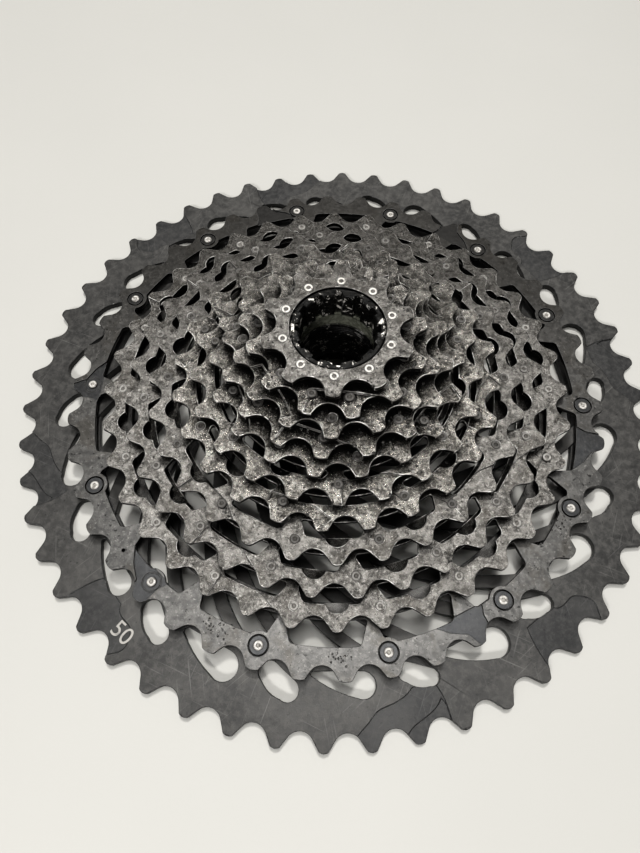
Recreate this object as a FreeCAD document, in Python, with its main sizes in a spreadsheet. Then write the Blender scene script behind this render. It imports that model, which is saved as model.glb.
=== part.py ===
import FreeCAD, Part
import math
import os

import Sketcher
from FreeCAD import Placement, Rotation, Vector

# Twelve-sprocket bicycle cassette, 10 to 50 teeth, riveted together with rings of shouldered pins.
# Millimetres. +Z points outboard, from the largest sprocket to the smallest. The origin is on the
# axis, in the plane of the largest sprocket's inboard face. Angles are degrees about +Z from +X.

UP = Vector(0, 0, 1)
ORIGIN = -1                      # how a sketch names its own origin
START, CENTRE = 1, 3             # a sketch element's points

# Driving dimensions. Every one is a cell of the sheet, under its own name.
DIMENSIONS = {
    "chain_pitch": 12.7,
    "seat_radius": 3.95,         # the arc that a chain roller sits in
    "steel_seat_wrap": 47,       # half of the seat arc, in degrees
    "large_seat_wrap": 55,       # the same on the 42 and the 50
    "small_seat_radius": 4.2,    # the 24 and smaller are cut deeper, with steeper flanks
    "small_seat_wrap": 58,
    "steel_tip_height": 0.15,    # tooth tip above the pitch circle
    "alloy_tip_height": 0.9,
    "tip_crown": 0.35,           # how far a tip's rounded middle stands above its corners
    "steel_plate": 1.6,
    "alloy_plate": 2.4,
    "first_step": 4.4,           # outboard face of the 50 to that of the 42
    "step": 3.85,                # the same between any other two neighbours
    "pin_radius": 1.3,
    "pin_collar_radius": 1.95,
    "pin_head": 0.12,            # how far a pin's ends stand out of the plates
    "pin_inset": 1.75,           # pin circle inside the root circle
    "pin_inset_42": 2.2,
    "pin_dimple_radius": 0.65,   # a punched dimple in each pin's end
    "pin_dimple_depth": 0.3,
    "pin_end_radius": 1.1,       # flat ring around the dimple
    "pin_wall": 2.35,            # metal around a pin hole, from its centre
    "pin_boss_radius": 3.9,
    "groove_inner_radius": 2.45,  # shallow ring pressed around each pin of the 42
    "groove_outer_radius": 2.85,
    "groove_depth": 0.85,          # deeper than the ramps, so that they do not hide it
    "rim_width": 3.1,            # root circle to the windows
    "rim_width_42": 4.6,
    "spoke_half_outer": 3.6,     # half of a spoke's width at the rim
    "spoke_half_inner": 1.25,
    "spoke_half_inner_42": 0.7,
    "corner_outer": 1.5,
    "corner_inner": 0.7,
    "notch_radius": 3.4,         # scallop in the rim behind a tooth with no pin
    "notch_rise": 2.3,           # how far it reaches into the rim
    "ramp_depth": 0.6,
    "alloy_ramp_depth": 0.35,
    "facet_depth": 0.7,          # a second, deeper step in some of the 50's ramps
    "timing_hole_radius": 0.5,   # a small mark in the 42
    "spoke_count_42": 18,
    "spoke_turn_42": 19.1,
    "spoke_lean": 1.3,           # degrees from a pin to the spoke inside it
    "register_radius": 12.9,     # bore of the 10, around the lock tube's flange
    "seat_bore_radius": 12.1,    # bore of the 12, around the lock tube itself
    "clearance": 0.06,
    "rim_inner_radius": 76.3,    # the 50's rim, inside
    "slot_bow": 0.7,             # how far a slot's outer side curves out
    "slot_trim": 0.65,           # off a slot's wide end where a ramp is near
    "arm_count": 14,
    "arm_width": 4.6,
    "tine_width": 3.7,
    "arm_depth": 3.4,
    "fork_radius": 46,
    "fork_overlap": 1,           # arm and tines run past the fork
    "fork_turn": 221.6,
    "arm_sweep": 68.2,           # degrees gained for each e-fold of radius
    "hub_radius": 21.5,
    "hub_length": 10,
    "spline_radius": 17.2,
    "spline_depth": 0.9,
    "spline_width": 1.25,
    "spline_count": 18,
    "tube_bottom": 14.5,
    "tube_recess": 0.35,         # how far the tube's top lies below the 10's face
    "edge_break": 0.4,           # chamfers on the tube
    "tube_thread_radius": 10.9,
    "tube_bore_radius": 11.2,
    "tool_spline_radius": 10.3,
    "tool_spline_depth": 1.1,
    "tool_spline_width": 2.7,
    "tool_spline_length": 9,
    "tool_spline_count": 12,
    "thread_pitch": 1,
    "thread_depth": 0.45,
    "thread_turns": 14,
    "thread_gap": 1.1,           # a thread groove's widest, inside the bore
    "snap_ring_seat": 0.6,       # depth of its groove in the tube
    "snap_ring_play": 0.05,
    "snap_ring_width": 1.9,
    "snap_ring_thickness": 1.1,
    "snap_ring_gap": 46,         # degrees left open
}

# Largest first: teeth, angle of tooth number 0, pins that join it to the next larger sprocket,
# angle of one pin, and the angles of the ramps in its outboard face.
STEEL_SPROCKETS = [
    (42, 7.33, 14, 24.47, (58, 108, 178, 228, 298, 348)),
    (36, 1.5, 18, 1.5, (62.4, 152.4, 242.4, 332.4)),
    (32, 6.45, 16, 6.45, (53, 143, 233, 323)),
    (28, 1.45, 14, 1.45, (40, 130, 220, 310)),
    (24, 11.6, 8, 26.6, (66, 156, 246, 336)),
    (21, 14.7, 7, 14.7, (33, 153, 273)),
    (18, 1.6, 9, 1.6, (74, 194, 314)),
    (16, 16.1, 8, 38.6, (60, 240)),
    (14, 10.7, 7, 10.7, (20, 200)),
    (12, 10.4, 12, 10.4, (70, 250)),
    (10, 15.4, 10, 15.4, ()),
]
ALLOY_TEETH = 50
ALLOY_TURN = 3.08
LEADING_RAMPS = (8.8, 102.4, 196, 282.4)     # angles of the 50's two kinds of ramp
TRAILING_RAMPS = (40.4, 134, 227.6, 314)
BESIDE = 8                                   # a slot this near a ramp, in degrees, is smaller
# The 50's two kinds of slot: radius and angle of each end's centre, and that end's own radius.
LONG_SLOT = ((83.1, 241.4, 1.0), (86.5, 250.5, 4.15))
SHORT_SLOT = ((84.4, 258.9, 2.95), (87.9, 262.8, 3.0))
TIMING_HOLE = (79.2, 221)                    # radius and angle
# Middle and end of the spider's tines, from the fork's own angle.
LOW_TINE = ((63, 14.6), (78.3, 29.6))
HIGH_TINE = ((63, 24.7), (78.3, 40.8))

doc = FreeCAD.newDocument("CassetteSprocket")
sheet = doc.addObject("Spreadsheet::Sheet", "Dims")


def fill_sheet():
    """One row for each driving dimension, then five for each steel sprocket."""
    cells = dict(DIMENSIONS)
    cells["teeth_50"] = ALLOY_TEETH
    cells["turn_50"] = ALLOY_TURN
    cells["rise_50"] = 0
    rise = DIMENSIONS["first_step"]
    for teeth, turn, pins, pin_turn, _ in STEEL_SPROCKETS:
        cells["teeth_%d" % teeth] = teeth
        cells["turn_%d" % teeth] = turn
        cells["rise_%d" % teeth] = round(rise, 3)
        cells["pins_%d" % teeth] = pins
        cells["pin_turn_%d" % teeth] = pin_turn
        rise += DIMENSIONS["step"]
    for row, (name, value) in enumerate(cells.items(), start=1):
        sheet.set("A%d" % row, name)
        sheet.set("B%d" % row, str(value))
        sheet.setAlias("B%d" % row, name)
    doc.recompute()
    return cells


size = fill_sheet()


def pitch_radius(teeth):
    return size["chain_pitch"] / 2 / math.sin(math.pi / teeth)


def pitch_cell(teeth):
    return "Dims.chain_pitch / 2 / sin(180 / Dims.teeth_%d)" % teeth


def root_radius(teeth):
    return pitch_radius(teeth) - size["seat_radius"]


def pin_circle(teeth):
    """Radius of the ring of pins that holds a sprocket to its larger neighbour."""
    return root_radius(teeth) - size["pin_inset_42" if teeth == 42 else "pin_inset"]


def bore_cell(smaller):
    """Formula of a bore that leaves a wall inside the next smaller sprocket's pins."""
    return "%s - Dims.seat_radius - Dims.pin_inset - Dims.pin_wall" % pitch_cell(smaller)


def outboard_face(teeth):
    return size["alloy_plate"] + size["rise_%d" % teeth]


# ---------------------------------------------------------------- sketch helpers

def origin_feature(body, role):
    return next(item for item in body.Origin.OriginFeatures if item.Role == role)


def new_body(label):
    body = doc.addObject("PartDesign::Body", label)
    body.Label = label
    return body


def new_sketch(body, name, height_cell="", plane="XY_Plane"):
    """A sketch on one of the body's own planes, lifted along Z by a sheet value."""
    sketch = body.newObject("Sketcher::SketchObject", name)
    sketch.AttachmentSupport = [(origin_feature(body, plane), "")]
    sketch.MapMode = "FlatFace"
    if height_cell:
        sketch.setExpression("AttachmentOffset.Base.z", height_cell)
    return sketch


def add_circles(sketch, centres, radius_name):
    """Equal circles whose radius follows the named cell."""
    circles = [Part.Circle(centre, UP, size[radius_name]) for centre in centres]
    first, *others = sketch.addGeometry(circles, False)
    rules = [Sketcher.Constraint("Equal", first, other) for other in others]
    rules.append(Sketcher.Constraint("Radius", first, size[radius_name]))
    if centres[0].Length == 0:
        rules.append(Sketcher.Constraint("Coincident", first, CENTRE, ORIGIN, START))
    radius = sketch.ConstraintCount + len(others)
    sketch.addConstraint(rules)
    sketch.setExpression("Constraints[%d]" % radius, "Dims." + radius_name)


def add_circle(sketch, radius_name):
    """A circle about the axis."""
    add_circles(sketch, [Vector(0, 0, 0)], radius_name)


def add_bore(sketch, radius, radius_cell):
    """A circle about the axis whose radius follows a formula of cells."""
    index = sketch.addGeometry(Part.Circle(Vector(0, 0, 0), UP, radius))
    sketch.addConstraint(Sketcher.Constraint("Coincident", index, CENTRE, ORIGIN, START))
    constraint = sketch.addConstraint(Sketcher.Constraint("Radius", index, radius))
    sketch.setExpression("Constraints[%d]" % constraint, radius_cell)


def add_polygon(sketch, points):
    for start, end in zip(points, points[1:] + points[:1]):
        sketch.addGeometry(line(start, end))


def polar(radius, degrees):
    angle = math.radians(degrees)
    return Vector(radius * math.cos(angle), radius * math.sin(angle), 0)


def turn_of(point):
    return math.degrees(math.atan2(point.y, point.x))


def mirrored(point):
    return Vector(point.x, -point.y, 0)


def around(count, first_turn):
    """Evenly spaced angles in degrees."""
    return [first_turn + 360 * number / count for number in range(count)]


def turned(edges, degrees):
    """The same edges, turned about the axis."""
    turn = Placement(Vector(0, 0, 0), Rotation(UP, degrees)).toMatrix()
    copies = [edge.copy() for edge in edges]
    for edge in copies:
        edge.transform(turn)
    return copies


def line(start, end):
    return Part.LineSegment(start, end)


def arc_through(start, middle, end):
    """The arc through three points, run anticlockwise as sketches hold their arcs."""
    circle = Part.Arc(start, middle, end).toShape().Curve
    low, high = (
        math.atan2(point.y - circle.Center.y, point.x - circle.Center.x) for point in (start, end)
    )
    clockwise = (middle - start).cross(end - middle).z < 0
    if clockwise:
        low, high = high, low
    if high < low:
        high += 2 * math.pi
    return Part.ArcOfCircle(Part.Circle(circle.Center, UP, circle.Radius), low, high)


def ring_arc(radius, low, high):
    """An arc about the axis between two angles in degrees."""
    circle = Part.Circle(Vector(0, 0, 0), UP, radius)
    return Part.ArcOfCircle(circle, math.radians(low), math.radians(high))


# ---------------------------------------------------------------- feature helpers

def pad(body, name, sketch, length_cell):
    feature = body.newObject("PartDesign::Pad", name)
    feature.Profile = sketch
    feature.setExpression("Length", length_cell)
    feature.Refine = False
    doc.recompute()
    return feature


def pattern(body, feature, count_cell):
    """Repeats a feature evenly about the body's Z axis."""
    repeat = body.newObject("PartDesign::PolarPattern", feature.Name + "Pattern")
    repeat.Originals = [feature]
    repeat.Axis = (origin_feature(body, "Z_Axis"), [""])
    repeat.Angle = 360
    repeat.setExpression("Occurrences", count_cell)
    body.Tip = repeat
    doc.recompute()


def pocket(body, name, sketch, depth_cell, count_cell=""):
    """Cuts a sketch down into the outboard face, to a depth from the sheet."""
    before = body.Shape.Volume
    feature = body.newObject("PartDesign::Pocket", name)
    feature.Profile = sketch
    feature.Refine = False
    feature.setExpression("Length", depth_cell)
    doc.recompute()
    if count_cell:
        pattern(body, feature, count_cell)
    if not body.Shape.Volume < before:
        raise RuntimeError("%s removed nothing from %s" % (name, body.Label))


# ---------------------------------------------------------------- what all sprockets share

def seat_names(teeth):
    """The cells of a sprocket's seat radius and seat wrap."""
    if teeth >= 42:
        return "seat_radius", "large_seat_wrap"
    if teeth > 24:
        return "seat_radius", "steel_seat_wrap"
    return "small_seat_radius", "small_seat_wrap"


def tooth_outline(teeth, turn, tip_height):
    """Roller seats on the pitch circle, straight flanks, and slightly rounded tips."""
    pitch = pitch_radius(teeth)
    seat_name, wrap_name = seat_names(teeth)
    seat = size[seat_name]
    wrap = math.radians(size[wrap_name])
    seat_end = Vector(pitch - seat * math.cos(wrap), seat * math.sin(wrap), 0)
    flank = Vector(math.sin(wrap), math.cos(wrap), 0)
    spacing = 360 / teeth
    tip = pitch + tip_height
    corner = tip - size["tip_crown"]
    shift = seat_end.dot(flank)
    high = seat_end + flank * (math.sqrt(shift ** 2 + corner ** 2 - seat_end.dot(seat_end)) - shift)
    next_corner = polar(corner, spacing - turn_of(high))
    gap = [
        line(mirrored(high), mirrored(seat_end)),
        Part.ArcOfCircle(Part.Circle(Vector(pitch, 0, 0), UP, seat), math.pi - wrap, math.pi + wrap),
        line(seat_end, high),
        arc_through(high, polar(tip, spacing / 2), next_corner),
    ]
    return [edge for gap_turn in around(teeth, turn + spacing / 2) for edge in turned(gap, gap_turn)]


def add_edges(sketch, edges):
    sketch.addGeometry(edges, False)


def pin_centres(teeth):
    turns = around(size["pins_%d" % teeth], size["pin_turn_%d" % teeth])
    return [polar(pin_circle(teeth), turn) for turn in turns]


def pin_holes(sketch, teeth):
    """Holes for the pins of the sprocket with this many teeth."""
    add_circles(sketch, pin_centres(teeth), "pin_radius")


def ramp_loops(sketch, corners, turns):
    """Shallow ramps: corners are (radius, degrees from the ramp's own angle)."""
    for turn in turns:
        add_polygon(sketch, [polar(radius, turn + degrees) for radius, degrees in corners])


# ---------------------------------------------------------------- steel sprockets

def corner_round(foot, along, inward, arc_radius, rounding):
    """Where a round touches an arc about the axis and a flank line, and its middle.

    The round lies inside the arc, or outside it where rounding is negative.
    """
    reach = arc_radius - rounding
    start = foot + inward * abs(rounding)
    shift = start.dot(along)
    centre = start + along * (math.sqrt(shift ** 2 - start.dot(start) + reach ** 2) - shift)
    on_line = centre - inward * abs(rounding)
    on_arc = centre * (arc_radius / reach)
    bulge = ((on_line - centre) + (on_arc - centre)).normalize() * abs(rounding)
    return on_arc, centre + bulge, on_line


def notch_edges(outer, low_turn, high_turn, notch_turn):
    """A window's outer edge: an arc with a round notch in it, into the rim."""
    radius = size["notch_radius"]
    centre = outer + size["notch_rise"] - radius
    cosine = (outer ** 2 + centre ** 2 - radius ** 2) / (2 * outer * centre)
    half = math.degrees(math.acos(cosine))
    notch = [polar(outer, notch_turn - half), polar(centre + radius, notch_turn),
             polar(outer, notch_turn + half)]
    return [
        ring_arc(outer, low_turn, notch_turn - half),
        arc_through(*notch),
        ring_arc(outer, notch_turn + half, high_turn),
    ]


def window_edges(outer, inner, count, notch_turn, foot_name):
    """A window about angle zero: two arcs about the axis, two flanks and four rounds."""
    half = 180 / count
    outer_half = half - math.degrees(size["spoke_half_outer"] / outer)
    inner_half = half - math.degrees(size[foot_name] / inner)
    foot, head = polar(inner, inner_half), polar(outer, outer_half)
    along = (head - foot).normalize()
    inward = Vector(along.y, -along.x, 0)
    high = corner_round(foot, along, inward, outer, size["corner_outer"])
    low = corner_round(foot, along, inward, inner, -size["corner_inner"])
    high_other, low_other = ([mirrored(point) for point in corner] for corner in (high, low))
    if notch_turn is None:
        rim = [ring_arc(outer, turn_of(high_other[0]), turn_of(high[0]))]
    else:
        rim = notch_edges(outer, turn_of(high_other[0]), turn_of(high[0]), notch_turn)
    return rim + [
        arc_through(*high),
        line(high[2], low[2]),
        arc_through(*reversed(low)),
        ring_arc(inner, turn_of(low_other[0]), turn_of(low[0])),
        arc_through(*low_other),
        line(low_other[2], high_other[2]),
        arc_through(*reversed(high_other)),
    ]


def windows(sketch, teeth, smaller, ramp_turns):
    """Tapered spokes stay between the windows, one for each of the sprocket's own pins.

    A window has no notch where a ramp crosses its rim.
    """
    inner = pin_circle(smaller) + size["pin_wall"]
    if teeth == 42:
        count, turn = size["spoke_count_42"], size["spoke_turn_42"]
        outer = root_radius(teeth) - size["rim_width_42"]
        plain = window_edges(outer, inner, count, None, "spoke_half_inner_42")
        notched = plain
    else:
        lean = size["spoke_lean"]
        count, turn = size["pins_%d" % teeth], size["pin_turn_%d" % teeth] - lean
        outer = root_radius(teeth) - size["rim_width"]
        plain = window_edges(outer, inner, count, None, "spoke_half_inner")
        notched = window_edges(outer, inner, count, lean, "spoke_half_inner")
    for window_turn in around(count, turn + 180 / count):
        crossed = any((window_turn - ramp) % 360 < 360 / count for ramp in ramp_turns)
        add_edges(sketch, turned(plain if crossed else notched, window_turn))


def steel_ramps(teeth):
    """Corners of a ramp: a straight radial side, then flat ground over the next tooth."""
    root = root_radius(teeth)
    reach = math.degrees(size["chain_pitch"] / root)
    inside, outside = root - size["rim_width"], root + 6
    return [
        (inside, 0),
        (outside, 0),
        (outside, 1.1 * reach),
        (root + 0.6, 1.45 * reach),
        (inside + 0.8, 1.1 * reach),
        (inside, 0.9 * reach),
    ]


LARGE_STEEL_RAMP = [(76, -6.2), (79, -3.5), (81.2, -0.5), (86, 1), (86, 3.9), (79, 4.2), (76, 5.3)]


def steel_sprocket(index):
    teeth, turn, _, _, ramp_turns = STEEL_SPROCKETS[index]
    body = new_body("sprocket_%d" % teeth)
    smaller = STEEL_SPROCKETS[index + 1][0] if teeth > 10 else None
    sketch = new_sketch(body, "OutlineSketch")
    add_edges(sketch, tooth_outline(teeth, turn, size["steel_tip_height"]))
    if teeth == 10:
        add_circle(sketch, "register_radius")
    elif teeth == 12:
        add_circle(sketch, "seat_bore_radius")
    else:
        bore = pin_circle(smaller) - size["pin_wall"]
        add_bore(sketch, bore, bore_cell(smaller))
    if teeth >= 21:
        windows(sketch, teeth, smaller, ramp_turns)
    if teeth == 42:
        add_circles(sketch, [polar(*TIMING_HOLE)], "timing_hole_radius")
    else:
        pin_holes(sketch, teeth)
    if smaller:
        pin_holes(sketch, smaller)
    pad(body, "Plate", sketch, "Dims.steel_plate")
    if teeth == 42:
        pin_bosses(body, teeth)
    if ramp_turns:
        ramp_sketch = new_sketch(body, "RampSketch", "Dims.steel_plate")
        ramp_loops(ramp_sketch, LARGE_STEEL_RAMP if teeth == 42 else steel_ramps(teeth), ramp_turns)
        pocket(body, "Ramp", ramp_sketch, "Dims.ramp_depth")
    lift = "Dims.alloy_plate + Dims.rise_%d - Dims.steel_plate" % teeth
    body.setExpression("Placement.Base.z", lift)
    return body


def pin_bosses(body, teeth):
    """Round metal around each pin, bulging into the windows, with a shallow pressed ring."""
    boss_sketch = new_sketch(body, "BossSketch")
    hole_sketch = new_sketch(body, "HoleSketch", "Dims.steel_plate")
    groove_sketch = new_sketch(body, "GrooveSketch", "Dims.steel_plate")
    add_circles(boss_sketch, pin_centres(teeth), "pin_boss_radius")
    add_circles(hole_sketch, pin_centres(teeth), "pin_radius")
    add_circles(groove_sketch, pin_centres(teeth), "groove_inner_radius")
    add_circles(groove_sketch, pin_centres(teeth), "groove_outer_radius")
    pad(body, "Boss", boss_sketch, "Dims.steel_plate")
    pocket(body, "PinHole", hole_sketch, "Dims.steel_plate")
    pocket(body, "PinGroove", groove_sketch, "Dims.groove_depth")


# ---------------------------------------------------------------- the alloy sprocket

def bar_edges(points, width):
    """A bar of even width along the arc through three points."""
    circle = Part.Arc(*points).toShape().Curve
    centre, radius = circle.Center, circle.Radius
    inside, outside = (
        [centre + (point - centre) * ((radius + side) / radius) for point in points]
        for side in (-width / 2, width / 2)
    )
    return [
        arc_through(*inside),
        line(inside[2], outside[2]),
        arc_through(*reversed(outside)),
        line(outside[0], inside[0]),
    ]


def spider(body):
    """Swept arms from the hub, each forking into two tines that run into the rim."""
    fork, overlap = size["fork_radius"], size["fork_overlap"]

    def along(radius):
        return polar(radius, size["arm_sweep"] * math.log(radius / fork))

    foot, head = size["hub_radius"] - overlap, fork + overlap
    arm = [along(foot), along((foot + head) / 2), along(head)]
    low_tine = [along(fork - overlap)] + [polar(*point) for point in LOW_TINE]
    high_tine = [along(fork - overlap)] + [polar(*point) for point in HIGH_TINE]
    for name, points, width in (
        ("Arm", arm, size["arm_width"]),
        ("LowTine", low_tine, size["tine_width"]),
        ("HighTine", high_tine, size["tine_width"]),
    ):
        sketch = new_sketch(body, name + "Sketch")
        for turn in around(size["arm_count"], size["fork_turn"]):
            add_edges(sketch, turned(bar_edges(points, width), turn))
        pad(body, name, sketch, "Dims.arm_depth")


def slot_edges(low, low_radius, high, high_radius):
    """A tapered slot: two round ends, a straight inner side and a bowed outer side."""
    way = high - low
    lean = math.acos((low_radius - high_radius) / way.Length)
    heading = math.atan2(way.y, way.x)

    def touch(centre, radius, side):
        return centre + Vector(math.cos(heading + side * lean), math.sin(heading + side * lean), 0) * radius

    ahead = way.normalize()
    low_left, low_right = touch(low, low_radius, 1), touch(low, low_radius, -1)
    high_left, high_right = touch(high, high_radius, 1), touch(high, high_radius, -1)
    outward = Vector(high_right.y - low_right.y, low_right.x - high_right.x, 0).normalize()
    bowed = (high_right + low_right) * 0.5 + outward * size["slot_bow"]
    return [
        arc_through(low_right, bowed, high_right),
        arc_through(high_right, high + ahead * high_radius, high_left),
        line(high_left, low_left),
        arc_through(low_left, low - ahead * low_radius, low_right),
    ]


def rim_slots():
    """Long and short slanted slots by turns around the rim."""
    edges = []
    for turn in around(size["arm_count"], 0):
        for (low_reach, low_turn, low_radius), (reach, high_turn, radius) in (LONG_SLOT, SHORT_SLOT):
            trim = size["slot_trim"] if beside_ramp(turn + high_turn) else 0
            low = polar(low_reach, turn + low_turn)
            high = polar(reach - trim, turn + high_turn)
            edges += slot_edges(low, low_radius - trim / 2, high, radius - trim)
    return edges


def beside_ramp(turn):
    ramps = LEADING_RAMPS + TRAILING_RAMPS
    return any(abs((turn - ramp + 180) % 360 - 180) < BESIDE for ramp in ramps)


def curve(points):
    """A smooth curve through points given as (radius, degrees)."""
    spline = Part.BSplineCurve()
    spline.interpolate([polar(*point) for point in points])
    return spline


def closed_ramps(sketch, curves, turns):
    """Ramps bounded by smooth curves, each closed to the next and to the first by a line."""
    edges = [curve(points) for points in curves]
    for end, start in zip(curves, curves[1:] + curves[:1]):
        if end[-1] != start[0]:
            edges.append(line(polar(*end[-1]), polar(*start[0])))
    for turn in turns:
        add_edges(sketch, turned(edges, turn))


def alloy_ramps(body):
    """Two kinds of curved ramp; the leading kind has a deeper facet at its far side."""
    beyond = 105
    sketch = new_sketch(body, "RampSketch", "Dims.alloy_plate")
    foot = [(beyond, -7.6), (97.5, -7.6), (95.2, -6), (92.7, -4.4), (91.4, -1.8), (90, 0.8)]
    foot.append((88.5, 2.2))
    back = [(88.5, 6.2), (91, 6.7), (95, 7), (98, 6.9), (beyond, 6.5)]
    closed_ramps(sketch, [foot, back], LEADING_RAMPS)
    foot = [(beyond, -7.2), (99.5, -7), (93, -6.5), (88.5, -5.6)]
    back = [(89, 0.5), (91.2, 3), (91.7, 4.9), (93.2, 5.7), (95.5, 6.4), (97.3, 6.3)]
    back += [(99.5, 5.4), (beyond, 5.2)]
    closed_ramps(sketch, [foot, back], TRAILING_RAMPS)
    pocket(body, "Ramp", sketch, "Dims.alloy_ramp_depth")
    facet_sketch = new_sketch(body, "FacetSketch", "Dims.alloy_plate")
    side = [(beyond, 0.2), (98.6, 0.2), (96.5, 2.6), (94.8, 5.1), (92.8, 6.5)]
    back = [(95, 7), (98, 6.9), (beyond, 6.5)]
    closed_ramps(facet_sketch, [side, back], LEADING_RAMPS)
    pocket(body, "Facet", facet_sketch, "Dims.facet_depth")


def spline_outline():
    """The hub's bore: a circle with square keyways around it."""
    inner, outer = size["spline_radius"], size["spline_radius"] + size["spline_depth"]
    count = size["spline_count"]
    half_in, half_out = (
        math.degrees(math.asin(size["spline_width"] / 2 / radius)) for radius in (inner, outer)
    )
    keyway = [
        line(polar(inner, -half_in), polar(outer, -half_out)),
        ring_arc(outer, -half_out, half_out),
        line(polar(outer, half_out), polar(inner, half_in)),
        ring_arc(inner, half_in, 360 / count - half_in),
    ]
    return [edge for turn in around(count, 0) for edge in turned(keyway, turn)]


def alloy_sprocket():
    body = new_body("sprocket_50")
    plate = "Dims.alloy_plate"
    hub_sketch = new_sketch(body, "HubSketch")
    add_circle(hub_sketch, "hub_radius")
    add_edges(hub_sketch, spline_outline())
    pad(body, "Hub", hub_sketch, "Dims.hub_length")
    spider(body)
    rim_sketch = new_sketch(body, "RimSketch")
    add_edges(rim_sketch, tooth_outline(ALLOY_TEETH, ALLOY_TURN, size["alloy_tip_height"]))
    add_circle(rim_sketch, "rim_inner_radius")
    add_edges(rim_sketch, rim_slots())
    pad(body, "Rim", rim_sketch, plate)
    hole_sketch = new_sketch(body, "HoleSketch", "Dims.arm_depth")
    pin_holes(hole_sketch, 42)
    pocket(body, "PinHole", hole_sketch, "Dims.arm_depth")
    alloy_ramps(body)
    return body


# ---------------------------------------------------------------- pins

def pin_group(teeth, larger):
    """Shouldered pins: the collar spaces two sprockets apart, the ends are headed over."""
    body = new_body("pins_%d_%d" % (teeth, larger))
    top = outboard_face(teeth)
    below_top = outboard_face(larger)
    plate_below = size["alloy_plate"] if larger == ALLOY_TEETH else size["steel_plate"]
    head, shank, collar = size["pin_head"], size["pin_radius"], size["pin_collar_radius"]
    axis_x = pin_circle(teeth)
    low, high = below_top - plate_below, top
    low_end = low if larger == ALLOY_TEETH else low - head
    dimple = size["pin_dimple_radius"]
    dimple_floor = high + head - size["pin_dimple_depth"]
    profile = [
        (0, low_end),
        (shank, low_end),
        (shank, below_top),
        (collar, below_top),
        (collar, high - size["steel_plate"]),
        (shank, high - size["steel_plate"]),
        (shank, high),
        (size["pin_end_radius"], high + head),
        (dimple, high + head),
        (dimple / 2, dimple_floor),
        (0, dimple_floor),
    ]
    sketch = new_sketch(body, "ProfileSketch", plane="XZ_Plane")
    add_polygon(sketch, [Vector(axis_x + x, z, 0) for x, z in profile])
    sketch.addGeometry(line(Vector(axis_x, low, 0), Vector(axis_x, below_top, 0)), True)
    pin = body.newObject("PartDesign::Revolution", "Pin")
    pin.Profile = sketch
    pin.ReferenceAxis = (sketch, ["Axis0"])
    pin.Angle = 360
    doc.recompute()
    pattern(body, pin, "Dims.pins_%d" % teeth)
    body.Placement = Placement(Vector(0, 0, 0), Rotation(UP, size["pin_turn_%d" % teeth]))
    body.setExpression("Placement.Rotation.Angle", "Dims.pin_turn_%d" % teeth)
    return body


# ---------------------------------------------------------------- lock tube

def snap_ring_top():
    """The snap ring lies just under the 12."""
    return outboard_face(12) - size["steel_plate"] - 4 * size["snap_ring_play"]


def tube_outside():
    return size["seat_bore_radius"] - size["clearance"]


def lock_tube():
    """A sleeve hung in the bores of the two smallest sprockets, free to turn there."""
    body = new_body("lock_tube")
    gap, edge = size["clearance"], size["edge_break"]
    top = outboard_face(10) - size["tube_recess"]
    bottom = size["tube_bottom"]
    shoulder = outboard_face(12) + gap
    flange = size["register_radius"] - gap
    outside = tube_outside()
    groove_high = snap_ring_top() + size["snap_ring_play"]
    groove_low = groove_high - size["snap_ring_thickness"] - 2 * size["snap_ring_play"]
    groove_floor = outside - size["snap_ring_seat"]
    tool_floor = top - size["tool_spline_length"]
    tool, bore, thread = size["tool_spline_radius"], size["tube_bore_radius"], size["tube_thread_radius"]
    thread_top = bottom + (size["thread_turns"] + 1.5) * size["thread_pitch"]
    profile = [
        (thread, bottom + edge),
        (thread + edge, bottom),
        (outside - edge, bottom),
        (outside, bottom + edge),
        (outside, groove_low),
        (groove_floor, groove_low),
        (groove_floor, groove_high),
        (outside, groove_high),
        (outside, shoulder),
        (flange, shoulder),
        (flange, top - edge),
        (flange - edge, top),
        (tool + edge, top),
        (tool, top - edge),
        (tool, tool_floor),
        (bore, tool_floor - (bore - tool)),
        (bore, thread_top + (bore - thread)),
        (thread, thread_top),
    ]
    sketch = new_sketch(body, "ProfileSketch", plane="XZ_Plane")
    add_polygon(sketch, [Vector(x, z, 0) for x, z in profile])
    sleeve = body.newObject("PartDesign::Revolution", "Sleeve")
    sleeve.Profile = sketch
    sleeve.ReferenceAxis = (origin_feature(body, "Z_Axis"), [""])
    sleeve.Angle = 360
    doc.recompute()

    tool_sketch = new_sketch(body, "ToolSketch")
    tool_sketch.AttachmentOffset = Placement(Vector(0, 0, top), Rotation())
    half = size["tool_spline_width"] / 2
    mouth, deep = tool - 1, tool + size["tool_spline_depth"]
    corners = [(mouth, -half), (deep, -0.8 * half), (deep, 0.8 * half), (mouth, half)]
    add_polygon(tool_sketch, [Vector(x, y, 0) for x, y in corners])
    pocket(body, "ToolSlot", tool_sketch, "Dims.tool_spline_length", "Dims.tool_spline_count")
    cut_thread(body)
    return body


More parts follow.
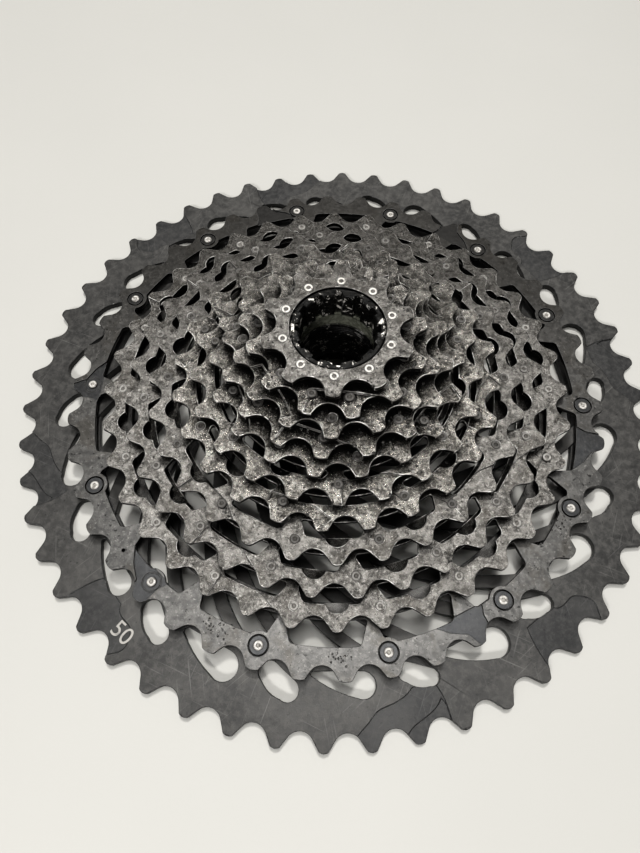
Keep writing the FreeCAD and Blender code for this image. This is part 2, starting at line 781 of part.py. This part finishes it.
def cut_thread(body):
    """The thread as a row of V-shaped rings at its pitch."""
    first = size["tube_bottom"] + 1.2 * size["thread_pitch"]
    depth = size["thread_depth"]
    root, mouth = size["tube_thread_radius"] + depth, size["tube_thread_radius"] - depth
    half = size["thread_gap"] / 2
    sketch = new_sketch(body, "ThreadSketch", plane="XZ_Plane")
    add_polygon(sketch, [
        Vector(mouth, first - half, 0),
        Vector(root, first, 0),
        Vector(mouth, first + half, 0),
    ])
    groove = body.newObject("PartDesign::Groove", "Thread")
    groove.Profile = sketch
    groove.ReferenceAxis = (origin_feature(body, "Z_Axis"), [""])
    groove.Angle = 360
    doc.recompute()
    repeat = body.newObject("PartDesign::LinearPattern", "ThreadPattern")
    repeat.Originals = [groove]
    repeat.Direction = (origin_feature(body, "Z_Axis"), [""])
    repeat.setExpression("Length", "Dims.thread_pitch * (Dims.thread_turns - 1)")
    repeat.setExpression("Occurrences", "Dims.thread_turns")
    body.Tip = repeat
    doc.recompute()


def snap_ring():
    """A split ring in the tube's groove that keeps the tube in the cluster."""
    body = new_body("lock_tube_snap_ring")
    inner = tube_outside() - size["snap_ring_seat"] + size["snap_ring_play"]
    outer = inner + size["snap_ring_width"]
    half_gap = size["snap_ring_gap"] / 2
    sketch = new_sketch(body, "RingSketch")
    add_edges(sketch, [
        ring_arc(outer, half_gap, 360 - half_gap),
        line(polar(outer, -half_gap), polar(inner, -half_gap)),
        ring_arc(inner, half_gap, 360 - half_gap),
        line(polar(inner, half_gap), polar(outer, half_gap)),
    ])
    pad(body, "Ring", sketch, "Dims.snap_ring_thickness")
    low = snap_ring_top() - size["snap_ring_thickness"]
    body.Placement = Placement(Vector(0, 0, low), Rotation())
    return body


def build():
    parts = [alloy_sprocket()]
    larger = ALLOY_TEETH
    for index, row in enumerate(STEEL_SPROCKETS):
        parts.append(steel_sprocket(index))
        parts.append(pin_group(row[0], larger))
        larger = row[0]
    parts.append(lock_tube())
    parts.append(snap_ring())
    return parts


def check(parts):
    """Stops on any failed object or bad shape before a file is written."""
    doc.recompute()
    for item in doc.Objects:
        if "Invalid" in item.State or "Error" in item.State:
            raise RuntimeError("%s failed: %s" % (item.Name, item.State))
    for part in parts:
        if part.Shape.isNull() or not part.Shape.isValid():
            raise RuntimeError("bad shape: " + part.Label)


def export(parts):
    os.makedirs("parts", exist_ok=True)
    for part in parts:
        part.Shape.exportStep("parts/%s.step" % part.Label)
        solids = len(part.Shape.Solids)
        print("%-20s %3d solids %10.1f mm3" % (part.Label, solids, part.Shape.Volume))


all_parts = build()
check(all_parts)
export(all_parts)
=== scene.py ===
import math
import random

import bmesh
import bpy
from mathutils import Matrix, Vector, noise


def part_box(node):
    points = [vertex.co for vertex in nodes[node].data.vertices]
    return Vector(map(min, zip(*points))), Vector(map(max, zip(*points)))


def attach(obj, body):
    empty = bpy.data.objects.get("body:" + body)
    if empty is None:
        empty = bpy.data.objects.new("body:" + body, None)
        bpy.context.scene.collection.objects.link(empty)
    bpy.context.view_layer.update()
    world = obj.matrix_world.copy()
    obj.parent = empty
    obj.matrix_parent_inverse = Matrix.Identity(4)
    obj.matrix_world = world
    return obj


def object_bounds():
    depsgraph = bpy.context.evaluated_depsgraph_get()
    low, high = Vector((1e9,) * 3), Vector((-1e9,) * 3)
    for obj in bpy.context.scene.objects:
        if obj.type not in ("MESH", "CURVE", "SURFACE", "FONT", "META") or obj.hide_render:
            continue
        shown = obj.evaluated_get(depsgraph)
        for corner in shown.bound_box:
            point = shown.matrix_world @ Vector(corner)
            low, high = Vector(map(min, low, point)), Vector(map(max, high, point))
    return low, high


# A used twelve-speed bicycle cassette lying flat, seen from above its small end. Lengths are in metres.
MM = 0.001

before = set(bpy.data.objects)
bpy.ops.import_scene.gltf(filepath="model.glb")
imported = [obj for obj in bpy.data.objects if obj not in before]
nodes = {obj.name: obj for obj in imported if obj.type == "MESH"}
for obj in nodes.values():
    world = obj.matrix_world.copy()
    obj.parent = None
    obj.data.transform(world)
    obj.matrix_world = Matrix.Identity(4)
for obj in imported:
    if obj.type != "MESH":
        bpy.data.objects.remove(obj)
cad_low, cad_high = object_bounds()
scene = bpy.context.scene


# ---------------------------------------------------------------- camera

AIM = Vector((-4.6 * MM, -9.4 * MM, 2.4 * MM))   # where the camera looks, on the largest sprocket
DISTANCE = 191.4 * MM
ELEVATION = 65.55                                # degrees above the horizon
AZIMUTH = -2.27
ROLL = -0.62
LENS = 25.1                                      # of a 36 mm frame


def make_camera():
    data = bpy.data.cameras.new("Camera")
    data.lens = LENS
    data.sensor_width = 36
    data.clip_start = 0.01
    camera = bpy.data.objects.new("Camera", data)
    scene.collection.objects.link(camera)
    turn, height = math.radians(AZIMUTH), math.radians(ELEVATION)
    view = Vector((math.sin(turn) * math.cos(height), math.cos(turn) * math.cos(height), -math.sin(height)))
    camera.location = AIM - view * DISTANCE
    camera.rotation_mode = "QUATERNION"
    level = view.to_track_quat("-Z", "Y")
    camera.rotation_quaternion = level @ Matrix.Rotation(math.radians(ROLL), 3, "Z").to_quaternion()
    scene.camera = camera


# ---------------------------------------------------------------- node trees

class Finish:
    """Builds one material's node tree. Sizes of patterns are in metres."""

    def __init__(self, name):
        self.material = bpy.data.materials.new(name)
        self.material.use_nodes = True
        self.tree = self.material.node_tree
        self.shader = self.tree.nodes["Principled BSDF"]
        self.place = self.add("ShaderNodeTexCoord").outputs["Object"]

    def add(self, kind, links=None, **settings):
        """A node with its settings, and its sockets linked or set by name."""
        node = self.tree.nodes.new(kind)
        for name, value in settings.items():
            setattr(node, name, value)
        for name, value in (links or {}).items():
            self.feed(node.inputs[name], value)
        return node

    def feed(self, socket, value):
        if isinstance(value, bpy.types.NodeSocket):
            self.tree.links.new(value, socket)
        else:
            socket.default_value = value

    def set(self, **values):
        """Sets or links the shader's sockets; a name's underscores stand for spaces."""
        for name, value in values.items():
            self.feed(self.shader.inputs[name.replace("_", " ")], value)

    def noise(self, size, detail=3.0, rough=0.55, twist=0.0, place=None):
        node = self.add("ShaderNodeTexNoise", {
            "Vector": place or self.place, "Scale": 1 / size, "Detail": detail,
            "Roughness": rough, "Distortion": twist})
        return node.outputs["Fac"]

    def stretched(self, turn, along):
        """The place turned about Z, for a pattern drawn out along one direction."""
        node = self.add("ShaderNodeMapping", {
            "Vector": self.place, "Rotation": (0, 0, math.radians(turn)), "Scale": (1, along, 1)},
            vector_type="TEXTURE")
        return node.outputs["Vector"]

    def upward(self):
        """1 on flat faces that look along the axis, 0 on the walls between them."""
        normal = self.add("ShaderNodeNewGeometry").outputs["True Normal"]
        height = self.add("ShaderNodeSeparateXYZ", {"Vector": normal}).outputs["Z"]
        return self.fade(self.sum("ABSOLUTE", height, 0.0), 0.35, 0.9)

    def height(self):
        return self.add("ShaderNodeSeparateXYZ", {"Vector": self.place}).outputs["Z"]

    def side(self):
        """How far along Y, which is away from the camera."""
        return self.add("ShaderNodeSeparateXYZ", {"Vector": self.place}).outputs["Y"]

    def reach(self):
        """Distance from the axis."""
        flat = self.add("ShaderNodeVectorMath", {0: self.place, 1: (1, 1, 0)}, operation="MULTIPLY")
        return self.add("ShaderNodeVectorMath", {0: flat.outputs[0]}, operation="LENGTH").outputs["Value"]

    def near_pins(self, count, turn, circle, limit):
        """1 within a distance of any pin of a ring of pins, 0 elsewhere."""
        split = self.add("ShaderNodeSeparateXYZ", {"Vector": self.place})
        angle = self.sum("ARCTAN2", split.outputs["Y"], split.outputs["X"])
        half = math.pi / count
        angle = self.sum("SUBTRACT", angle, math.radians(turn))
        angle = self.add("ShaderNodeMath", {0: angle, 1: half, 2: -half}, operation="WRAP").outputs["Value"]
        reach = self.reach()
        side = self.sum("MULTIPLY", reach, self.sum("SINE", angle, 0.0))
        ahead = self.sum("SUBTRACT", self.sum("MULTIPLY", reach, self.sum("COSINE", angle, 0.0)), circle)
        squares = self.sum("ADD", self.sum("MULTIPLY", side, side), self.sum("MULTIPLY", ahead, ahead))
        away = self.sum("SQRT", squares, 0.0)
        return self.fade(away, limit - 0.1 * MM, limit + 0.1 * MM, 1.0, 0.0)

    def open_sky(self, reach):
        """1 in the open, towards 0 deep in corners and under other sprockets."""
        return self.add("ShaderNodeAmbientOcclusion", {"Distance": reach}, samples=6).outputs["AO"]

    def fade(self, value, low, high, start=0.0, end=1.0):
        """start below low, end above high, and a smooth change between."""
        node = self.add("ShaderNodeMapRange", {
            "Value": value, "From Min": low, "From Max": high, "To Min": start, "To Max": end},
            interpolation_type="SMOOTHSTEP")
        return node.outputs["Result"]

    def sum(self, operation, first, second):
        node = self.add("ShaderNodeMath", operation=operation)
        self.feed(node.inputs[0], first)
        self.feed(node.inputs[1], second)
        return node.outputs["Value"]

    def blend(self, share, first, second):
        node = self.add("ShaderNodeMix", data_type="RGBA")
        self.feed(node.inputs[0], share)
        self.feed(node.inputs[6], first)
        self.feed(node.inputs[7], second)
        return node.outputs[2]

    def bump(self, height, depth, under=None):
        links = {"Height": height, "Distance": depth, "Strength": 1.0}
        if under:
            links["Normal"] = under
        return self.add("ShaderNodeBump", links).outputs["Normal"]

    def scratches(self, size, turns, coverage):
        """Fine crossed scratches, 0 on clean metal and up to 1 along a scratch."""
        total = 0.0
        for turn in turns:
            lines = self.noise(size, 2.0, 0.5, 0.0, self.stretched(turn, 60.0))
            line = self.fade(lines, 0.62 - coverage, 0.70 - coverage)
            total = self.sum("MAXIMUM", total, line)
        return total


def grey(value, warmth=0.0):
    return (value * (1 + warmth), value, value * (1 - 1.4 * warmth), 1.0)


# ---------------------------------------------------------------- finishes

# The pins that join the 42 to the 50: how many, the angle of one, and their circle's radius.
LARGE_PINS, LARGE_PIN_TURN, LARGE_PIN_CIRCLE = 14, 24.47, 78.82 * MM
PRESSED_DISC = 2.75 * MM                         # radius of the disc pressed round each of them

# Where the steel's painted shade along Y starts and ends, and how much of its colour it loses to it.
FAR_START, FAR_END, FAR_PAINTED_SHADE = -25 * MM, 60 * MM, 0.72
# Painted shade: steel goes black beside and under plates that shelter it, out to this distance.
SHADE_REACH = 20 * MM                          # how far a plate's shelter is felt


def alloy_finish():
    """Hard-anodised charcoal aluminium: worn grey on its face and blacker in its ramps; painted shade makes
    its walls and the spider under the other sprockets blacker.
    """
    f = Finish("alloy_charcoal")
    cloud = f.fade(f.noise(22 * MM, 5, 0.6, 0.4), 0.36, 0.64)
    mottle = f.noise(2.0 * MM, 7, 0.75, 0.1)
    scuff = f.scratches(0.35 * MM, (12, 68, 131, 160), -0.05)
    base = f.blend(cloud, grey(0.052, 0.008), grey(0.080, 0.02))
    base = f.blend(f.fade(mottle, 0.42, 0.68, 0.0, 0.6), base, grey(0.12, 0.03))
    base = f.blend(f.fade(f.noise(0.9 * MM, 3, 0.6), 0.62, 0.72, 0.0, 0.6), base, grey(0.03))
    base = f.blend(f.sum("MULTIPLY", scuff, 0.22), base, grey(0.30, 0.02))
    height = f.height()
    ramp = f.sum("MULTIPLY", f.fade(height, 2.2 * MM, 2.3 * MM, 1.0, 0.0), f.fade(height, 1.4 * MM, 1.5 * MM))
    base = f.blend(f.sum("MULTIPLY", ramp, 0.32), base, (0.030, 0.032, 0.036, 1.0))
    # Painted shade: near black on the walls, and darker inside 74 to 77 mm, where the spider lies under the
    # other sprockets.
    base = f.blend(f.upward(), grey(0.02), base)
    base = f.blend(f.fade(f.reach(), 74 * MM, 77 * MM, 0.85, 0.0), base, grey(0.018, 0.04))
    rough = f.fade(mottle, 0.3, 0.7, 0.32, 0.5)
    grain = f.bump(mottle, 0.05 * MM)
    f.set(Base_Color=base, Metallic=0.6, Specular_IOR_Level=0.3, Roughness=rough,
          Normal=f.bump(scuff, 0.003 * MM, grain))
    return f.material


def edge_finish(name, dull, bright, share):
    """What shows along an edge: bare bright metal where rubbed, the plate's own colour elsewhere."""
    f = Finish(name)
    rubbed = f.fade(f.noise(4.5 * MM, 5, 0.75, 0.5), 0.66 - share, 0.80 - share)
    rubbed = f.sum("MULTIPLY", rubbed, f.fade(f.open_sky(2 * MM), 0.70, 0.80))
    f.set(Base_Color=f.blend(rubbed, dull, bright), Metallic=0.8,
          Roughness=f.fade(f.noise(0.9 * MM), 0.3, 0.7, 0.36, 0.6),
          Normal=f.bump(f.noise(1.2 * MM, 4, 0.7), 0.45 * MM))
    return f.material


def steel_finish(name, grit, oil, dark, light, painted_shade_edge, hollows=None):
    """Used steel: a rough skin of grime, scuffed brighter in places.

    Painted shade, with some oily grime, makes it black where the sky is narrower than the given edge: beside
    the next sprocket and on the walls.
    It also darkens along Y as painted shade, not known wear: the far side is painted darker.
    hollows, if given, adds what lies low on the plate: a share of a darker, smoother colour.
    """
    f = Finish(name)
    coarse = f.noise(2.4 * MM, 7, 0.72, 0.3)
    fine = f.noise(0.9 * MM, 5, 0.75, 0.2)
    patch = f.noise(9 * MM, 4, 0.65, 0.5)
    base = f.blend(f.fade(coarse, 0.38, 0.62), dark, light)
    base = f.blend(f.fade(patch, 0.5, 0.66, 0.0, 0.5), base, grey(0.07, 0.10))
    base = f.blend(f.fade(fine, 0.55, 0.66, 0.0, 0.3 + 0.6 * oil), base, grey(0.45 + 0.35 * oil, 0.03))
    base = f.blend(f.fade(f.noise(1.3 * MM, 4, 0.6), 0.62, 0.68, 0.0, 0.8), base, grey(0.015))
    if hollows:
        base = f.blend(hollows(f), base, (0.050, 0.052, 0.056, 1.0))
    # Painted shade: darker towards +Y, the far side.
    base = f.blend(f.fade(f.side(), FAR_START, FAR_END, 0.0, FAR_PAINTED_SHADE), base, grey(0.02, 0.08))
    # Painted shade, with some oily grime: black where the open sky is narrow and on the walls; clean is the
    # share outside it.
    ragged = f.sum("ADD", f.open_sky(SHADE_REACH), f.fade(coarse, 0.3, 0.7, -0.04, 0.04))
    shelter = f.fade(ragged, painted_shade_edge - 0.03, painted_shade_edge + 0.03, 1.0, 0.0)
    painted_shade = f.sum("MAXIMUM", shelter, f.fade(f.upward(), 0.0, 1.0, 1.0, 0.0))
    clean = f.sum("SUBTRACT", 1.0, painted_shade)
    # The painted shade's near-black colour.
    base = f.blend(painted_shade, base, grey(0.009, 0.05))
    rough = f.fade(fine, 0.35, 0.65, 0.32 - 0.12 * oil, 0.44 - 0.1 * oil)
    rough = f.sum("MAXIMUM", rough, f.sum("MULTIPLY", painted_shade, 0.5))
    skin = f.bump(fine, grit * 0.35 * MM, f.bump(coarse, grit * 0.6 * MM))
    f.set(Base_Color=base, Metallic=0.9, Specular_IOR_Level=f.sum("MULTIPLY", clean, 0.5), Roughness=rough,
          Normal=skin, Coat_Weight=f.sum("MULTIPLY", clean, 0.3 * oil), Coat_Roughness=0.15, Coat_Normal=skin)
    return f.material


def large_hollows(f):
    """The 42's ramps, and the pressed discs around its pins."""
    face = nodes_top("sprocket_42")
    discs = f.near_pins(LARGE_PINS, LARGE_PIN_TURN, LARGE_PIN_CIRCLE, PRESSED_DISC)
    ramps = f.fade(f.height(), face - 0.4 * MM, face - 0.3 * MM, 1.0, 0.0)
    return f.sum("MULTIPLY", f.sum("MAXIMUM", discs, ramps), 0.75)


def nodes_top(name):
    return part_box(name)[1].z


def pin_finish(name, top, ring, dimple):
    """Stainless pin ends: a rubbed flat ring at the top, grime in the dimple and down the sides."""
    f = Finish(name)
    stain = f.fade(f.noise(1.1 * MM, 4, 0.6), 0.50, 0.66, 0.0, 0.7)
    height = f.height()
    raised = f.fade(height, top - 0.05 * MM, top - 0.01 * MM)
    base = f.blend(raised, grey(dimple, 0.04), grey(ring, 0.03))
    base = f.blend(stain, base, grey(0.10, 0.08))
    sides = f.fade(height, top - 0.6 * MM, top - 0.5 * MM, 1.0, 0.0)
    f.set(Base_Color=f.blend(sides, base, grey(0.01)), Metallic=0.85,
          Roughness=f.fade(stain, 0.0, 1.0, 0.5, 0.6),
          Normal=f.bump(f.noise(0.7 * MM, 4, 0.7), 0.35 * MM))
    return f.material


def tube_finish():
    """Black anodised aluminium, wet with oil and a little dusty, with painted sheen; painted light makes the
    plain wall under the tool's splines a mottled olive grey.
    """
    f = Finish("tube_black")
    height = f.height()
    above, below = f.fade(height, 30.0 * MM, 30.4 * MM), f.fade(height, 36.0 * MM, 36.4 * MM, 1.0, 0.0)
    wall = f.sum("MULTIPLY", above, below)
    dust = f.fade(f.noise(1.6 * MM, 5, 0.65), 0.45, 0.7)
    smear_and_sheen = f.noise(2.6 * MM, 4, 0.7, 0.6)
    base = f.blend(dust, grey(0.004), grey(0.016, 0.08))
    # Painted sheen: pale grey patches stand for glints off wet oil; the same pattern also drives the bump.
    base = f.blend(f.fade(smear_and_sheen, 0.57, 0.60), base, grey(0.60, 0.04))
    # Painted light: the plain wall between 30 and 36.4 mm is a lighter, mottled olive grey.
    base = f.blend(wall, base, f.blend(dust, (0.15, 0.155, 0.125, 1.0), (0.26, 0.265, 0.22, 1.0)))
    f.set(Base_Color=base, Metallic=0.2, Specular_IOR_Level=0.1, Roughness=f.fade(dust, 0.0, 1.0, 0.25, 0.55),
          Normal=f.bump(smear_and_sheen, 0.3 * MM))
    return f.material


def grease_finish():
    """Black chain grease full of metal dust, wet on its surface."""
    f = Finish("grease_black")
    dust = f.noise(0.7 * MM, 4, 0.7)
    base = f.blend(f.fade(dust, 0.55, 0.68), grey(0.012, 0.10), grey(0.32, 0.05))
    f.set(Base_Color=base, Metallic=f.fade(dust, 0.55, 0.68), Roughness=f.fade(dust, 0.3, 0.6, 0.18, 0.35),
          Normal=f.bump(dust, 0.2 * MM), Coat_Weight=0.5, Coat_Roughness=0.1)
    return f.material


def mark_finish():
    """Pale laser marking, a little rubbed."""
    f = Finish("laser_mark")
    rubbed = f.fade(f.noise(1.4 * MM, 4, 0.7), 0.52, 0.7)
    f.set(Base_Color=f.blend(rubbed, grey(0.42, 0.04), grey(0.16, 0.02)), Metallic=0.2,
          Roughness=f.fade(rubbed, 0.0, 1.0, 0.55, 0.45), Normal=f.bump(rubbed, 0.01 * MM))
    return f.material


def floor_finish():
    f = Finish("pale_table")
    tone = f.noise(60 * MM, 3, 0.5)
    grain = f.noise(1.2 * MM, 4, 0.6)
    f.set(Base_Color=f.blend(tone, (0.565, 0.56, 0.535, 1), (0.592, 0.585, 0.56, 1)),
          Roughness=f.fade(grain, 0.3, 0.7, 0.45, 0.6), Normal=f.bump(grain, 0.02 * MM))
    return f.material


# ---------------------------------------------------------------- the CAD nodes' edges and finishes

def coat(node, *finishes):
    node.data.materials.clear()
    for finish in finishes:
        node.data.materials.append(finish)


def soften(node, width, *finishes):
    """Gives a node its finishes, and a small round on its edges in the last of them."""
    coat(node, *finishes)
    weld = node.modifiers.new("Weld", "WELD")
    weld.merge_threshold = 0.002 * MM
    bevel = node.modifiers.new("Edge", "BEVEL")
    bevel.width = width
    bevel.segments = 2
    bevel.limit_method = "ANGLE"
    bevel.angle_limit = math.radians(38)
    bevel.use_clamp_overlap = False
    bevel.material = len(finishes) - 1


# How bright a sprocket's pins still are, on the ring around the dimple and in it.
PIN_TONES = {42: (0.75, 0.45), 36: (0.45, 0.25), 32: (0.30, 0.16), 10: (0.90, 0.22)}


def dress():
    alloy = alloy_finish()
    alloy_edge = edge_finish("alloy_edge", grey(0.06), grey(0.40, 0.02), 0.06)
    large = steel_finish("steel_large", 0.08, 0.0, grey(0.085, 0.015), grey(0.14, 0.02), 0.46, large_hollows)
    large_edge = edge_finish("steel_large_edge", grey(0.10, 0.01), grey(0.45, 0.02), 0.06)
    mid = steel_finish("steel_middle", 0.6, 0.6, grey(0.08, 0.05), grey(0.27, 0.04), 0.64)
    small = steel_finish("steel_gritty", 1.5, 1.0, grey(0.22, 0.06), grey(1.0, 0.05), 0.73)
    mid_edge = edge_finish("steel_middle_edge", grey(0.16, 0.03), grey(0.80, 0.02), 0.18)
    small_edge = edge_finish("steel_edge", grey(0.18, 0.04), grey(0.95, 0.02), 0.18)
    tube_edge = edge_finish("tube_edge", grey(0.01), grey(0.60, 0.02), 0.10)
    tube = tube_finish()
    for name, node in nodes.items():
        kind, *numbers = name.split("_")
        if kind == "sprocket":
            teeth = int(numbers[0])
            if teeth == 50:
                soften(node, 0.18 * MM, alloy, alloy_edge)
            elif teeth == 42:
                soften(node, 0.12 * MM, large, large_edge)
            elif teeth > 27 or teeth == 10:
                soften(node, 0.18 * MM, mid, mid_edge)
            else:
                soften(node, 0.20 * MM, small, small_edge)
        if kind == "pins":
            ring, dimple = PIN_TONES.get(int(numbers[0]), (0.16, 0.10))
            coat(node, pin_finish("pin_" + numbers[0], nodes_top(name), ring, dimple))
    soften(nodes["lock_tube"], 0.14 * MM, tube, tube_edge)
    coat(nodes["lock_tube_snap_ring"], tube)


# ---------------------------------------------------------------- grease

# Teeth of each small sprocket, to tell the bands apart, and the radii in mm between which grease
# gathers on it.
GREASE_BANDS = (
    (12, 17.5, 22), (14, 20.5, 26), (16, 25, 30), (18, 29, 34), (21, 33, 40), (24, 39, 46),
)
# Spots of grease thrown onto the larger sprockets: radius, angle and spread.
GREASE_SPOTS = ((79, 247, 3.2), (79, 272, 2.6), (78, 328, 2.2), (62, 301, 2.0), (52, 236, 2.0))


def lump(mesh, place, radius, height, seed):
    """One irregular lump of grease, flattened onto the face below it."""
    offset = Vector((seed * 3.1, seed * 1.7, seed * 0.9))
    made = bmesh.ops.create_icosphere(mesh, subdivisions=2, radius=1.0)
    for vertex in made["verts"]:
        broad, fine = noise.noise(vertex.co * 1.3 + offset), noise.noise(vertex.co * 3.1 + offset)
        swell = 1 + 0.55 * broad + 0.25 * fine
        flat = Vector((vertex.co.x * radius, vertex.co.y * radius, vertex.co.z * height)) * swell
        vertex.co = place + flat


def face_height(place):
    """Height of the highest metal under a place, or nothing where light falls through."""
    start = Vector((place.x, place.y, cad_high.z + MM))
    graph = bpy.context.evaluated_depsgraph_get()
    hit, point, _, _, thing, _ = scene.ray_cast(graph, start, Vector((0, 0, -1)))
    if hit and thing.name.startswith("sprocket"):
        return point.z
    return None


def make_grease():
    chance = random.Random(12)
    places = []
    for teeth, low_reach, high_reach in GREASE_BANDS:
        for _ in range(70):
            degrees = chance.gauss(285, 60)
            reach = chance.uniform(low_reach, high_reach)
            places.append((reach, degrees, chance.uniform(0.12, 0.5)))
    for reach, degrees, spread in GREASE_SPOTS:
        for _ in range(26):
            turn = degrees + chance.gauss(0, spread) / reach * 40
            places.append((reach + chance.gauss(0, spread * 0.4), turn, chance.uniform(0.08, 0.34)))
    mesh = bmesh.new()
    for number, (reach, degrees, radius) in enumerate(places):
        turn = math.radians(degrees)
        place = Vector((reach * math.cos(turn), reach * math.sin(turn), 0)) * MM
        height = face_height(place)
        if height is not None:
            place.z = height
            lump(mesh, place, radius * MM, radius * 0.5 * MM, number)
    data = bpy.data.meshes.new("grease_lumps")
    mesh.to_mesh(data)
    mesh.free()
    data.materials.append(grease_finish())
    for face in data.polygons:
        face.use_smooth = True
    grease = bpy.data.objects.new("grease_lumps", data)
    scene.collection.objects.link(grease)
    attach(grease, "cluster")


# ---------------------------------------------------------------- marks

def make_mark(name, text, reach, degrees, height):
    """A number marked on the largest sprocket's face, read from outside the rim."""
    curve = bpy.data.curves.new(name, "FONT")
    curve.body = text
    curve.size = height
    curve.align_x = "CENTER"
    curve.align_y = "CENTER"
    curve.extrude = 0.01 * MM
    shape = bpy.data.objects.new(name, curve)
    scene.collection.objects.link(shape)
    mesh = bpy.data.meshes.new_from_object(shape.evaluated_get(bpy.context.evaluated_depsgraph_get()))
    bpy.data.objects.remove(shape)
    turn = math.radians(degrees)
    mesh.transform(Matrix.Rotation(turn + math.pi / 2, 4, "Z"))
    place = Vector((reach * math.cos(turn), reach * math.sin(turn), 2.4)) * MM
    mesh.transform(Matrix.Translation(place))
    mesh.materials.append(mark_finish())
    mark = bpy.data.objects.new(name, mesh)
    scene.collection.objects.link(mark)
    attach(mark, "cluster")


# ---------------------------------------------------------------- stage

def make_floor():
    side = 3.0
    mesh = bpy.data.meshes.new("Floor")
    corners = [(-side, -side, 0), (side, -side, 0), (side, side, 0), (-side, side, 0)]
    mesh.from_pydata(corners, [], [(0, 1, 2, 3)])
    floor = bpy.data.objects.new("Floor", mesh)
    scene.collection.objects.link(floor)
    floor.location.z = cad_low.z
    mesh.materials.append(floor_finish())


def make_light(name, place, size, power, colour, target=Vector((0, 0, 0))):
    data = bpy.data.lights.new(name, "AREA")
    data.shape = "RECTANGLE"
    data.size, data.size_y = size
    data.energy = power
    data.color = colour
    light = bpy.data.objects.new(name, data)
    scene.collection.objects.link(light)
    light.location = place
    light.rotation_mode = "QUATERNION"
    light.rotation_quaternion = (target - Vector(place)).to_track_quat("-Z", "Y")


def make_lights():
    make_light("Window", (0.05, 1.25, 2.85), (0.42, 0.34), 42, (1.0, 0.985, 0.95))
    make_light("Lamp", (-0.3, -0.8, 0.75), (0.4, 0.14), 5.5, (1.0, 0.99, 0.97))
    make_light("Ceiling", (0.0, 0.16, 1.6), (0.8, 0.7), 7.5, (1.0, 0.99, 0.97))
    world = bpy.data.worlds.new("World")
    world.use_nodes = True
    background = world.node_tree.nodes["Background"]
    background.inputs["Color"].default_value = (1.0, 0.99, 0.96, 1)
    background.inputs["Strength"].default_value = 0.2
    scene.world = world
    scene.view_settings.view_transform = "Standard"
    scene.view_settings.look = "Medium High Contrast"


make_camera()
make_floor()
make_lights()
make_grease()
make_mark("mark_50", "50", 94.0, 232, 6.5 * MM)
dress()
